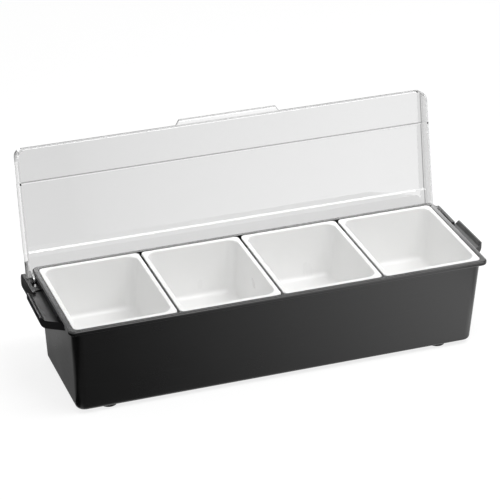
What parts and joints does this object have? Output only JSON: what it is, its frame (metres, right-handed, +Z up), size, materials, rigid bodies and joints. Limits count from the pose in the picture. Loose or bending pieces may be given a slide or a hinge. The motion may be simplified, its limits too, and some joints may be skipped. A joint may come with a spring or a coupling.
{
  "type": "chilled condiment server",
  "caption": "Bar-top tub with an ice space under lift-out condiment inserts in a row, an end handle on each side and a clear hinged lid that stands open against its stop.",
  "frame": {"origin": "middle of the whole part with its lid open, at the level that it stands on", "axes": "+X along the row of inserts to the right, +Y towards the hinge and the open lid, +Z up"},
  "size_m": [0.4908, 0.193, 0.2277],
  "materials": {
    "black_plastic": "satin moulded",
    "clear_lid": "clear, polished",
    "white_insert": "satin moulded",
    "pin_plastic": "turned",
    "foot_rubber": "matt"
  },
  "bodies": {
    "base": {"tub": "black_plastic", "handle_left": "black_plastic", "handle_right": "black_plastic", "hinge_pin_left": "pin_plastic", "hinge_pin_right": "pin_plastic", "foot_front_left": "foot_rubber", "foot_front_right": "foot_rubber", "foot_rear_left": "foot_rubber", "foot_rear_right": "foot_rubber"},
    "lid": {"lid": "clear_lid"},
    "insert_1": {"insert_1": "white_insert"},
    "insert_2": {"insert_2": "white_insert"},
    "insert_3": {"insert_3": "white_insert"},
    "insert_4": {"insert_4": "white_insert"}
  },
  "joints": [
    {"name": "lid_hinge", "type": "hinge", "parent": "base", "child": "lid", "pos_m": [0, 0.04072, 0.092], "axis": [-1, 0, 0], "range_deg": [-107, 0]},
    {"name": "insert_1_lift", "type": "slide", "parent": "base", "child": "insert_1", "axis": [0, 0, 1], "range_m": [0, 0.08]},
    {"name": "insert_2_lift", "type": "slide", "parent": "base", "child": "insert_2", "axis": [0, 0, 1], "range_m": [0, 0.08]},
    {"name": "insert_3_lift", "type": "slide", "parent": "base", "child": "insert_3", "axis": [0, 0, 1], "range_m": [0, 0.08]},
    {"name": "insert_4_lift", "type": "slide", "parent": "base", "child": "insert_4", "axis": [0, 0, 1], "range_m": [0, 0.08]}
  ]
}
